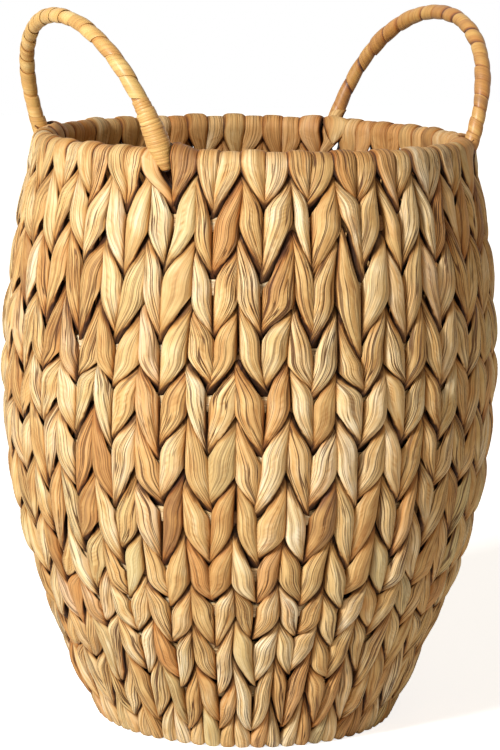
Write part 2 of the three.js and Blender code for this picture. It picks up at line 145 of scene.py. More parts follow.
# %% [markdown]
# ## Camera
#
# The picture is taken from a little above the rim, about 2.6 metres away with a long lens. The camera
# is placed by its position and its turn from the Y axis, its pitch down and its slight roll.

# %% Camera
CAMERA_PLACE = (-1.2598, -2.2741, 0.7386)
CAMERA_DEGREES = (29, 9.532, 1.0008)
FOCAL_LENGTH_PIXELS = 2988.55
PICTURE_LONG_SIDE = 750
SENSOR_LONG_SIDE = 36
VIEW_END = 50

turn, pitch, roll = map(math.radians, CAMERA_DEGREES)
look = Vector((math.sin(turn) * math.cos(pitch), math.cos(turn) * math.cos(pitch), -math.sin(pitch)))
level_right = look.cross(Vector((0, 0, 1))).normalized()
level_up = level_right.cross(look)
right = math.cos(roll) * level_right + math.sin(roll) * level_up
up = math.cos(roll) * level_up - math.sin(roll) * level_right
camera_data = bpy.data.cameras.new("camera")
camera_data.sensor_width = SENSOR_LONG_SIDE
camera_data.lens = FOCAL_LENGTH_PIXELS / PICTURE_LONG_SIDE * SENSOR_LONG_SIDE
camera_data.clip_end = VIEW_END
camera = new_object("camera", camera_data)
camera.matrix_world = Matrix.Translation(CAMERA_PLACE) @ Matrix((right, up, -look)).transposed().to_4x4()
bpy.context.scene.camera = camera
print("lens, mm:", round(camera_data.lens, 1))

# %% [markdown]
# ## Nodes
#
# The floor, the world and the materials are made of nodes. Each input of these helpers can be a number,
# a colour or another node's output.

# %% Helpers for nodes
def feed(tree, node, inputs):
    """Gives inputs, by name or by number, another node's output, a colour or a number."""
    for key, value in inputs.items():
        if isinstance(value, bpy.types.NodeSocket):
            tree.links.new(value, node.inputs[key])
        elif value is not None:
            node.inputs[key].default_value = (*value, 1) if isinstance(value, tuple) else value


def add_node(tree, kind, inputs=None, **settings):
    """A shader node of this kind, with its properties set by name and its inputs fed."""
    node = tree.nodes.new("ShaderNode" + kind)
    for key, value in settings.items():
        setattr(node, key, value)
    feed(tree, node, inputs or {})
    return node


def math_node(tree, operation, first, second=None, clamp=False):
    """One arithmetic step."""
    return add_node(tree, "Math", {0: first, 1: second}, operation=operation, use_clamp=clamp).outputs[0]


def mix_colour(tree, share, first, second, blend="MIX"):
    """Mixes two colours by a share."""
    inputs = {0: share, 6: first, 7: second}
    return add_node(tree, "Mix", inputs, data_type="RGBA", blend_type=blend).outputs[2]


def ramp(tree, value, stops):
    """A colour ramp with these stops of (place, colour)."""
    node = add_node(tree, "ValToRGB", {0: value})
    elements = node.color_ramp.elements
    while len(elements) < len(stops):
        elements.new(0.5)
    for element, (place, colour) in zip(elements, stops):
        element.position = place
        element.color = (*colour, 1)
    return node.outputs[0]


def smooth_step(tree, value, low, high, start=0, end=1):
    """Start below low, end above high, and a smooth climb between them."""
    inputs = {0: value, 1: low, 2: high, 3: start, 4: end}
    return add_node(tree, "MapRange", inputs, interpolation_type="SMOOTHSTEP").outputs[0]


def new_material(name):
    """A material, its tree and its shader."""
    made = bpy.data.materials.new(name)
    made.use_nodes = True
    return made, made.node_tree, made.node_tree.nodes["Principled BSDF"]


# %% [markdown]
# ## Light, floor and background
#
# One soft lamp stands to the left of the camera and above it, a wider, weaker and warmer one fills from
# the right, and the world gives the rest. The floor takes the basket's shadow and, for the camera alone,
# fades to white further off, so that its edge doesn't show. The camera sees the world as plain white,
# and so do mirrors and glass.

# %% Lamps, world and floor
WHITE = (1, 1, 1)
LAMP_AIM = (0, 0, 0.3)
LAMPS = (
    ("key_lamp", (-3.0, -1.25, 2.1), 0.7, 179, (0.98, 0.99, 1.0)),
    ("front_lamp", (-0.4, -3.0, 1.9), 1.4, 9, (1.0, 0.82, 0.62)),
)
WORLD_COLOUR, WORLD_LIGHT = (1, 0.75, 0.42), 0.17
FLOOR_CORNERS = ((-6, -6, 0), (6, -6, 0), (6, 6, 0), (-6, 6, 0))
FLOOR_COLOUR = (0.93, 0.93, 0.93)
FLOOR_LIFT = 0.78
FADE_START, FADE_END = 0.8, 2.4

for name, place, size, watts, colour in LAMPS:
    data = bpy.data.lights.new(name, "AREA")
    data.shape, data.size, data.energy, data.color = "SQUARE", size, watts, colour
    lamp = new_object(name, data)
    lamp.location = place
    lamp.rotation_euler = (Vector(LAMP_AIM) - Vector(place)).to_track_quat("-Z", "Y").to_euler()

world = bpy.data.worlds.new("studio")
bpy.context.scene.world = world
world.use_nodes = True
tree = world.node_tree
tree.nodes.clear()
rays = add_node(tree, "LightPath").outputs
seen = math_node(tree, "MAXIMUM", rays["Is Camera Ray"], rays["Is Glossy Ray"])
seen = math_node(tree, "MAXIMUM", seen, rays["Is Transmission Ray"])
plain_light, white_back = (
    add_node(tree, "Background", {"Color": colour, "Strength": strength}).outputs[0]
    for colour, strength in ((WORLD_COLOUR, WORLD_LIGHT), (WHITE, 1))
)
either = add_node(tree, "MixShader", {"Fac": seen, 1: plain_light, 2: white_back}).outputs[0]
add_node(tree, "OutputWorld", {"Surface": either})

floor_mesh = bpy.data.meshes.new("floor")
floor_mesh.from_pydata(FLOOR_CORNERS, [], [(0, 1, 2, 3)])
floor = new_object("floor", floor_mesh)
floor_paint, tree, shader = new_material("floor_paint")
place = add_node(tree, "TexCoord").outputs["Object"]
distance = add_node(tree, "VectorMath", {0: place}, operation="LENGTH").outputs["Value"]
lift = smooth_step(tree, distance, FADE_START, FADE_END, FLOOR_LIFT, 1)
camera_ray = add_node(tree, "LightPath").outputs["Is Camera Ray"]
feed(tree, shader, {
    "Base Color": FLOOR_COLOUR,
    "Roughness": 0.9,
    "Specular IOR Level": 0.1,
    "Emission Color": WHITE,
    "Emission Strength": math_node(tree, "MULTIPLY", camera_ray, lift),
})
floor_mesh.materials.append(floor_paint)
print("lamps:", len(LAMPS))

# %% [markdown]
# ## Leaf finish
#
# Dried hyacinth leaf is a flattened, folded tube of fibre: fine lines run along it, a few dark fold
# lines wander from end to end, and its tone lies between pale straw, gold, brown and grey-green. The
# fold lines are partly the leaf's own darker fibre and partly painted shade in its creases. The
# pattern reads the piece's UV map, with u across and v along the leaf in centimetres, a colour
# attribute that carries tone, depth of painted shade, warmth and a seed, and one that says how plain a leaf
# is.
# Every leaf piece has this grain, so it is one node group with its own inputs for each finish.

# %% The leaf grain group
SEED_SPREAD = 400
NOISE_ROUGHNESS = 0.55
# Each noise has an offset to the leaf's seed, frequencies across and along the leaf, and a detail.
NOISES = {
    "fine_fibre": (0, (10, 0.09), 2.5),
    "streaks": (11, (5, 0.16), 2),
    "patches": (23, (0.8, 0.35), 2),
    "fold_strength": (71, (2.2, 0.17), 1),
    "specks": (51, (13, 9), 1),
    "stains": (131, (0.7, 0.22), 1.5),
    "broad_creases": (83, (1.9, 0.05), 1.5),
    "narrow_creases": (97, (3.6, 0.07), 1.5),
}
LEAF_TONES = (
    (0.0, (0.30, 0.145, 0.052)),
    (0.25, (0.50, 0.270, 0.090)),
    (0.5, (0.66, 0.425, 0.170)),
    (0.75, (0.78, 0.585, 0.315)),
    (1.0, (0.88, 0.750, 0.520)),
)
SHADE_TINTS = (
    (0.0, WHITE),
    (0.40, (0.74, 0.55, 0.36)),
    (0.70, (0.25, 0.14, 0.07)),
    (1.0, (0.05, 0.025, 0.014)),
)
RED_BROWN, GREY_GREEN, DARK_LINE = (0.55, 0.250, 0.075), (0.58, 0.49, 0.235), (0.090, 0.030, 0.008)
# How strongly each part of the pattern shows.
RED, GREEN, STAINS, SPECKS, FINE, FOLD = 0.68, 0.6, 0.45, 0.25, 0.60, 0.95

leaf_grain = bpy.data.node_groups.new("leaf_grain", "ShaderNodeTree")
for name, start in (("Tone", 0), ("Fold Lines", 1), ("Fibre", 1)):
    socket = leaf_grain.interface.new_socket(name, in_out="INPUT", socket_type="NodeSocketFloat")
    socket.default_value = start
for name, kind in (("Color", "Color"), ("Roughness", "Float"), ("Height", "Float")):
    leaf_grain.interface.new_socket(name, in_out="OUTPUT", socket_type="NodeSocket" + kind)
settings = leaf_grain.nodes.new("NodeGroupInput").outputs
group_out = leaf_grain.nodes.new("NodeGroupOutput")
plus, minus, times, most = (
    partial(math_node, leaf_grain, operation) for operation in ("ADD", "SUBTRACT", "MULTIPLY", "MAXIMUM")
)
step = partial(smooth_step, leaf_grain)
leaf_uv = add_node(leaf_grain, "UVMap", uv_map="leaf").outputs[0]
leaf_place = add_node(leaf_grain, "SeparateXYZ", {0: leaf_uv}).outputs
leaf_marks = add_node(leaf_grain, "VertexColor", layer_name="leaf_marks").outputs
tone, shade, warmth = add_node(leaf_grain, "SeparateColor", {0: leaf_marks["Color"]}).outputs
seed = times(leaf_marks["Alpha"], SEED_SPREAD)
plainness = add_node(leaf_grain, "Attribute", attribute_name="leaf_plainness").outputs["Fac"]


def leaf_noise(offset, frequencies, detail):
    """Noise drawn out along the leaf: frequencies are per centimetre across it and along it."""
    place = add_node(leaf_grain, "CombineXYZ", {
        0: times(leaf_place[0], frequencies[0]),
        1: times(leaf_place[1], frequencies[1]),
        2: plus(seed, offset) if offset else seed,
    }).outputs[0]
    inputs = {"Vector": place, "Scale": 1, "Detail": detail, "Roughness": NOISE_ROUGHNESS}
    return add_node(leaf_grain, "TexNoise", inputs, noise_dimensions="3D").outputs["Fac"]


def crease_lines(drawn, width):
    """Wandering lines where a noise passes its middle value: 1 on a line, 0 beyond its width."""
    away = math_node(leaf_grain, "ABSOLUTE", minus(drawn, 0.5))
    return minus(1, step(away, width * 0.25, width))


noise = {name: leaf_noise(*values) for name, values in NOISES.items()}
# Fold lines darken the colour along the creases: partly the leaf's own darker fibre, partly painted shade in
# the crease.
broad_lines = times(crease_lines(noise["broad_creases"], 0.020), step(noise["fold_strength"], 0.36, 0.50))
narrow_lines = times(crease_lines(noise["narrow_creases"], 0.025), step(noise["fold_strength"], 0.68, 0.50))
lined = minus(1, plainness)
fold_lines = times(most(broad_lines, times(narrow_lines, 0.95)), settings["Fold Lines"], clamp=True)
fold_lines = times(fold_lines, lined)
fine_lines = times(step(noise["fine_fibre"], 0.56, 0.62), settings["Fibre"], clamp=True)
fine_lines = times(fine_lines, plus(times(lined, 0.6), 0.4))

leaf_tone = plus(tone, settings["Tone"])
for name, strength in (("patches", 0.9), ("streaks", 0.65)):
    leaf_tone = plus(leaf_tone, times(minus(noise[name], 0.5), strength))
red_share = times(step(warmth, 0.45, 1.0), RED)
stain_share = times(step(noise["stains"], 0.56, 0.74), STAINS)
colour = ramp(leaf_grain, leaf_tone, LEAF_TONES)
for share, tint in (
    (most(red_share, stain_share), RED_BROWN),
    (times(minus(1, step(warmth, 0.0, 0.5)), GREEN), GREY_GREEN),
    (times(fine_lines, FINE), DARK_LINE),
    (times(fold_lines, FOLD), DARK_LINE),
    (times(step(noise["specks"], 0.74, 0.80), SPECKS), DARK_LINE),
):
    colour = mix_colour(leaf_grain, share, colour, tint)
relief = plus(times(noise["fine_fibre"], 0.35), times(noise["streaks"], 0.9))
feed(leaf_grain, group_out, {
    "Color": mix_colour(leaf_grain, 1.0, colour, ramp(leaf_grain, shade, SHADE_TINTS), blend="MULTIPLY"),
    "Roughness": plus(0.5, times(noise["streaks"], 0.25)),
    "Height": minus(relief, times(fold_lines, 0.8)),
})
print("nodes in the grain:", len(leaf_grain.nodes))

# %% The four leaf finishes
RELIEF_DEPTH = 0.0012
COAT_ROUGHNESS = 0.35


def leaf_finish(name, tone_shift, folds, fibre, bump, specular, coat=0.0, tint=WHITE):
    """A leaf material: the shared grain, with its own tone, strength of lines, relief, gloss and tint."""
    made, tree, shader = new_material(name)
    inputs = {"Tone": tone_shift, "Fold Lines": folds, "Fibre": fibre}
    grain = add_node(tree, "Group", inputs, node_tree=leaf_grain).outputs
    inputs = {"Strength": bump, "Distance": RELIEF_DEPTH, "Height": grain["Height"]}
    feed(tree, shader, {
        "Base Color": mix_colour(tree, 1.0, grain["Color"], tint, blend="MULTIPLY"),
        "Roughness": grain["Roughness"],
        "Normal": add_node(tree, "Bump", inputs).outputs[0],
        "Specular IOR Level": specular,
        "Coat Weight": coat,
        "Coat Roughness": COAT_ROUGHNESS,
    })
    return made


strap_leaf = leaf_finish("strap_leaf", 0, 1, 1, 0.9, 0.25)
hoop_leaf = leaf_finish("hoop_leaf", 0.12, 0.4, 1, 0.5, 0.3)
base_leaf = leaf_finish("base_leaf", -0.05, 0.6, 1, 0.6, 0.3)
handle_leaf = leaf_finish("handle_leaf", -0.14, 0.10, 0.30, 0.4, 0.5, coat=0.35, tint=(0.95, 0.87, 0.62))
print("leaf finishes:", [made.name for made in (strap_leaf, hoop_leaf, base_leaf, handle_leaf)])

# %% [markdown]
# ## Bands of leaf
#
# Every strap, winding and strip is a band: a closed section of a few points carried along a path. The
# helper takes the points of many bands at once, as one array of band, ring, section point and
# coordinate, joins the rings with quads, caps the ends, and writes the UV map and marks.

# %% Helpers for arrays
def together(*values):
    """Stretches values to one shape and stacks them along a new last axis."""
    return np.stack(np.broadcast_arrays(*values), axis=-1)


def unit(values):
    """Values kept between 0 and 1."""
    return np.clip(values, 0, 1)


def climbing(values, start, width, power=1):
    """((value - start) / width)^power, kept between 0 and 1. A negative width climbs downward."""
    return unit((values - start) / width) ** power


def eased(values):
    """0 below 0, 1 above 1, and the smooth climb 3 v^2 - 2 v^3 between them."""
    values = unit(values)
    return values * values * (3 - 2 * values)


def blend(first, second, share):
    """First (1 - share) + second share."""
    return first * (1 - share) + second * share


def squared(values, power):
    """Pushes a circle's coordinate out towards a square's: sign(c) |c|^power."""
    return np.sign(values) * np.abs(values) ** power


def shares_between(count):
    """Evenly spaced shares between 0 and 1, without the two ends."""
    return np.linspace(0, 1, count + 2)[1:-1]


def smooth_between(knots, place):
    """Eased values between knots that stand at 0, 1, 2 and so on along the last axis."""
    low = np.clip(np.floor(place).astype(int), 0, knots.shape[-1] - 2)
    return blend(knots[..., low], knots[..., low + 1], eased(place - low))


def leaf_section(front, back):
    """Places s from -1 to 1 across a leaf and which face each is on: front points go left to right,
    back points right to left, with the spacing of a circle so that the edges are round."""
    turn = np.concatenate([np.linspace(math.pi, 0, front), np.linspace(0, -math.pi, back + 2)[1:-1]])
    return np.cos(turn), np.sin(turn)


# %% From arrays to a mesh
def band_mesh(name, points, across_cm, along_cm, marks, material, body="root", turned=None):
    """Joins arrays of shape (bands, rings, section, 3) in millimetres into one closed mesh.

    Ring i and ring i+1 are joined by a quad between section points j and j+1, and the first and last
    rings are filled. across_cm and along_cm give u and v, and marks give tone, shade, warmth, seed and,
    if some leaves are plainer than others, plainness. A quad that isn't flat is cut from its first
    corner to its third: turned picks the bands whose quads are cut the other way.
    """
    bands, rings, section, _ = points.shape
    index = np.arange(bands * rings * section).reshape(bands, rings, section)
    ahead = np.roll(index, -1, axis=2)
    quads = np.stack([index[:, :-1], ahead[:, :-1], ahead[:, 1:], index[:, 1:]], axis=-1)
    if turned is not None:
        quads[turned] = np.roll(quads[turned], -1, axis=-1)
    quads = quads.reshape(-1, 4)
    caps = np.concatenate([index[:, 0, ::-1], index[:, -1, :]]).reshape(-1, section)
    corners = np.concatenate([quads.ravel(), caps.ravel()])
    sizes = np.concatenate([np.full(len(quads), 4), np.full(len(caps), section)])
    starts = np.concatenate([[0], np.cumsum(sizes)[:-1]])
    mesh = bpy.data.meshes.new(name)
    mesh.vertices.add(index.size)
    mesh.vertices.foreach_set("co", (points * MM).astype(np.float32).ravel())
    mesh.loops.add(len(corners))
    mesh.loops.foreach_set("vertex_index", corners.astype(np.int32))
    mesh.polygons.add(len(sizes))
    mesh.polygons.foreach_set("loop_start", starts.astype(np.int32))
    mesh.polygons.foreach_set("loop_total", sizes.astype(np.int32))
    mesh.update(calc_edges=True)
    mesh.polygons.foreach_set("use_smooth", np.ones(len(sizes), bool))
    spots = np.broadcast_to(together(across_cm, along_cm), (bands, rings, section, 2)).reshape(-1, 2)
    layer = mesh.uv_layers.new(name="leaf")
    layer.data.foreach_set("uv", spots[corners].astype(np.float32).ravel())
    values = np.broadcast_to(marks, (bands, rings, section, marks.shape[-1])).astype(np.float32)
    stored = mesh.color_attributes.new("leaf_marks", "FLOAT_COLOR", "POINT")
    stored.data.foreach_set("color", values[..., :4].ravel())
    if marks.shape[-1] > 4:
        plain = mesh.attributes.new("leaf_plainness", "FLOAT", "POINT")
        plain.data.foreach_set("value", values[..., 4].ravel())
    mesh.materials.append(material)
    piece = new_object(name, mesh)
    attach(piece, body)
    print(name, "triangles:", 2 * len(quads) + len(caps) * (section - 2))
    return piece


# %% [markdown]
# ## The twined straps
#
# Row lines are the rim wire, the ten hoops and the foot wire. Along a half strap, a number t counts
# these lines from 0 at the rim to 11 at the foot. The two halves of a strap are a two-ply rope that is
# split by every hoop: each half makes half a turn round the pair's middle from one row line to the next.
# So its cross-section is half of a rounded column, turned by an angle. Its trailing edge is raised and
# laps over the next leaf, its leading edge is tucked in, and a flat cut on its back leaves room for the
# hoop. The axes of every array are column, ring along the strap and point across it.

# %% Rows and columns
LEAF_COLUMNS = 62
ROW_HEIGHTS = np.array([58, 52, 56, 40, 50, 48, 52, 35, 40, 47, 57.6])
hoop_stations = np.cumsum(ROW_HEIGHTS)[:-1] * wall_length / ROW_HEIGHTS.sum()
row_stations = np.concatenate([[rim_station], hoop_stations, [foot_station]])
LAST_ROW = len(row_stations) - 1
STRETCHES = LAST_ROW // 2 + 3
column_turn = (np.arange(LEAF_COLUMNS) + 0.5) * math.tau / LEAF_COLUMNS
leans_back = np.where(np.arange(LEAF_COLUMNS) % 2 == 1, 1.0, -1.0)[:, None, None]
print("rows:", LAST_ROW, "columns:", LEAF_COLUMNS)

# %% Random looks and unevenness
random = np.random.default_rng(1486)
# Random phases are spread over this much, nearly a full turn.
PHASE_SPREAD = 6.28
# A stretch is a leaf's way between two places where it is hidden. Looks go by half, face (outer or
# inner), column and stretch. A strap keeps its look over the rim.
LINE_WANDER = 1.9
FACE_STRETCHES = (2, 2, LEAF_COLUMNS, STRETCHES)
row_place = np.arange(LAST_ROW + 3) - 1


def row_noise(size):
    """One random number of this size for each row line of each column."""
    return random.normal(0, size, (LEAF_COLUMNS, LAST_ROW + 3))


# Mostly middling to pale leaves, with a brown one now and then.
leaf_tones = unit(random.normal(0.60, 0.13, FACE_STRETCHES) - 0.26 * (random.random(FACE_STRETCHES) < 0.10))
# Near one half for a plain leaf, towards 1 for a reddish one and 0 for a grey-green one.
leaf_warmths = random.normal(0.5, 0.13, FACE_STRETCHES)
leaf_warmths += 0.36 * (random.random(FACE_STRETCHES) < 0.08)
leaf_warmths = unit(leaf_warmths - 0.30 * (random.random(FACE_STRETCHES) < 0.08))
leaf_plainness = np.clip(random.normal(0.24, 0.28, FACE_STRETCHES), 0, 0.9)
leaf_plainness[:, 1] = 0.45 + 0.5 * leaf_plainness[:, 1]
for table in (leaf_tones, leaf_warmths, leaf_plainness):
    table[1, 1, :, 0] = table[0, 0, :, 0]
# Painted shade: leaves on the inner face of the wall are made darker and warmer than those outside.
leaf_tones[:, 1] -= 0.16
leaf_warmths[:, 1] += 0.22
leaf_plainness[1, 1, :, 0] = 0.6 + 0.4 * leaf_plainness[1, 1, :, 0]
unevenness = np.interp(row_place, [0, 6, 9, 11], [1, 1, 1.6, 1.2])
phase_noise = row_noise(0.10) * unevenness
depth_noise = row_noise(0.5) + random.normal(0, 0.6, (LEAF_COLUMNS, 1))
line_places = row_noise(LINE_WANDER) * unevenness
rim_slant = row_noise(3.6) * (row_place == 0)
rim_bulge = random.normal(0, 0.55, (LEAF_COLUMNS, 1, 1))
line_places[1::2] += np.interp(row_place, [0, 1, 3, 6, 11], [1.5, 2.8, 2.2, 0.8, 0.3])
seeds = random.random((LEAF_COLUMNS, 1, 1))
print("looks of leaves drawn:", leaf_tones.size)

# %% Room for the handles' legs
# The two straps beside each handle leg part to let it through, and their neighbours move up, less and
# less with distance. A push is in millimetres along the rim, to the right if positive.
HANDLE_FOOT_ANGLE = math.radians(39)
LEG_ROOM = 6
NEIGHBOUR_PUSH = 11.5
FADING_BETWEEN, FADING_BEYOND = 38, 17
leg_turns = (HANDLE_FOOT_ANGLE, -HANDLE_FOOT_ANGLE, math.pi - HANDLE_FOOT_ANGLE, math.pi + HANDLE_FOOT_ANGLE)
leg_climbs = (0.3, 0.6, 0.6, 1.0)
line_turn = np.arange(LEAF_COLUMNS) * math.tau / LEAF_COLUMNS
left_push, right_push, leg_side, leg_lift = beside_legs = np.zeros((4, LEAF_COLUMNS))
for leg_turn, leg_climb in zip(leg_turns, leg_climbs):
    gap = ((line_turn - leg_turn + math.pi) % math.tau - math.pi) * rim_ring[0]
    nearest = int(np.argmin(np.abs(gap)))
    fading = np.where(gap * gap[nearest] < 0, FADING_BETWEEN, FADING_BEYOND)
    push = np.sign(gap) * NEIGHBOUR_PUSH * np.exp(-np.abs(gap) / fading)
    push[nearest] = 0
    left_push += push
    right_push += np.roll(push, -1)
    left_push[nearest] += LEG_ROOM - gap[nearest]
    right_push[nearest - 1] -= LEG_ROOM + gap[nearest]
    leg_side[[nearest, nearest - 1]] = -1, 1
    leg_lift[[nearest, nearest - 1]] = leg_climb
left_push, right_push, leg_side, leg_lift = beside_legs[..., None, None]
print("straps beside the legs:", np.flatnonzero(leg_side))

# %% The section of a half strap
# Each front point has a place in quarter turns from the middle of the half, and a share of the full
# radius. The first points are the lip that laps over the next leaf, the last are the tucked edge.
FACE_PLACES = np.linspace(-1.04, 0.92, 26)
FACE_SHARES = np.interp(FACE_PLACES, [-1.04, -0.8, 0, 0.92], [1.02, 1.03, 1.0, 0.98])
front_places = np.concatenate([[-1.02, -1.13, -1.19, -1.15], FACE_PLACES, [1.0, 1.05]])
front_shares = np.concatenate([[0.70, 0.79, 0.90, 0.985], FACE_SHARES, [0.90, 0.78]])
tucked_part = climbing(front_places, 0.3, 0.75, 1.6)
BACK_POINTS = 3
FRONT_POINTS = len(front_places)
SECTION_POINTS = FRONT_POINTS + BACK_POINTS
STEPS_A_ROW = 15
INSIDE_END = 10.84
# Depths and reaches of a pair, in millimetres, and how square its section is.
PAIR_DEPTH = 10.4
OUTER_REACH, INNER_REACH, REACH_LOSS = 10.0, 9.4, 0.18
HOOP_CLEARANCE, HALVES_PRESSED = 2.9, 0.9
ROUNDNESS, RIM_ROUNDNESS, FOOT_ROUNDNESS = 0.86, 0.47, 0.66
# Widths as shares of a column, and the random parts of a leaf's width, place, swelling and turn.
FULLNESS, WIDTH_AT_RIM, WIDTH_AT_FOOT = 1.15, 1.13, 1.16
OWN_WIDTH, OWN_SHIFT, OWN_SWELL, OWN_PHASE = 0.06, 1.0, 0.05, 0.018
TUCK, TUCK_SPREAD, TUCK_LIMITS, TUCK_AT_ENDS = 0.20, 0.09, (0.08, 0.36), 0.14
# Rows over which the unevenness, the wires' hold, the foot's width and a leg's lift fade out.
EVEN_ROWS, HELD_ROWS, FOOT_ROWS, LIFT_ROWS = 0.8, 0.5, 0.6, 0.35
FOOT_FULLNESS, FOOT_FULL_ROWS, FOOT_FULL_CLIMB = 3.6, 1.6, 1.2
LEG_CLIMB, LEG_START = 9, 0.15
# For the half that leaves the rim outside, and for the other.
LEG_ROWS, LEG_PARTING, BESIDE_ROWS = (0.5, 0.25), (1, 0.45), (0.8, 0.25)
# A leaf's crown and its folds (depth in millimetres, ridges across half the leaf), and its tilt.
LEAF_CROWN, LEAF_TILT = 3.5, 0.045
FOLDS = ((0.65, 0.8), (0.66, 1.4), (0.22, 2.3))
CROWN_LEVEL, RIDGE_LEVEL, VALLEY_LEVEL, RELIEF_LOSS_AT_RIM = 0.62, 0.62, 0.45, 0.45
# Where shade starts across a leaf or a column, over what width it climbs, and with which power.
EDGE_SHADE, UNDER_SHADE, BESIDE_SHADE = (0.76, 0.25, 1.4), (0.74, 0.3), (0.69, 0.22, 1.8)
TIP_SHADE, TIP_DARKNESS, BESIDE_DARKNESS, VALLEY_DARKNESS = (0.55, -0.5), 0.62, 0.95, 1.6
BACK_ACROSS_CM = 14.0


def smooth_rows(knots, t):
    """Reads eased random values, one for each row line, at every t."""
    return smooth_between(knots, t[0, :, 0] + 1)[..., None]


def own_way(size, first_outside, t):
    """An eased random value for each leaf: it is reached where the leaf lies full on the outside."""
    return smooth_rows(random.normal(0, size, (LEAF_COLUMNS, STRETCHES + 2)), (t - first_outside) / 2)


def per_stretch(values, stretch):
    """Looks up a column's value for each stretch at every ring."""
    return np.take_along_axis(values[..., None], stretch, axis=1)


def leaf_face(x, wide, tau, stretch, t):
    """Places across a visible leaf, its narrowness, its relief, and how deep in a fold each point lies.

    At tau rows from the leaf's middle it reaches from one side of the column to minus cos(pi tau) of the
    half width, so its own half width is (1 + cos(pi tau)) / 2 of that, and places run from -1 to 1. Its
    relief is a crown, 1 - place^2, and folds: round ridges with narrow valleys, (cos^2 + 0.04)^0.42.
    """
    half = wide * np.clip((1 + np.cos(math.pi * tau)) / 2, 0.10, 1)
    middle = np.sign(tau) * wide * (1 - np.cos(math.pi * tau)) / 2
    place = np.clip((x - middle) / half, -1.4, 1.4)
    narrow = half / wide
    height = LEAF_CROWN * (CROWN_LEVEL - place**2)
    valley = 0
    inner = unit(1 - place**2) ** 0.5
    for size, count in FOLDS:
        phase = per_stretch(random.random((LEAF_COLUMNS, STRETCHES)) * PHASE_SPREAD, stretch)
        phase = phase + 0.5 * smooth_rows(row_noise(1), t)
        strength = size * per_stretch(0.25 + 1.3 * random.random((LEAF_COLUMNS, STRETCHES)), stretch)
        ridge = (np.cos(math.pi * count * place + phase) ** 2 + 0.04) ** 0.42
        height = height + strength * (ridge - RIDGE_LEVEL) * inner
        valley = valley + strength * unit(VALLEY_LEVEL - ridge) * inner
    return place, narrow, height * (0.35 + 0.65 * narrow), valley


def with_back(front, back):
    """Adds the values of the points on a half's back to those of its front."""
    back = np.broadcast_to(back, (*front.shape[:-1], BACK_POINTS))
    return np.concatenate([front, back], axis=-1)


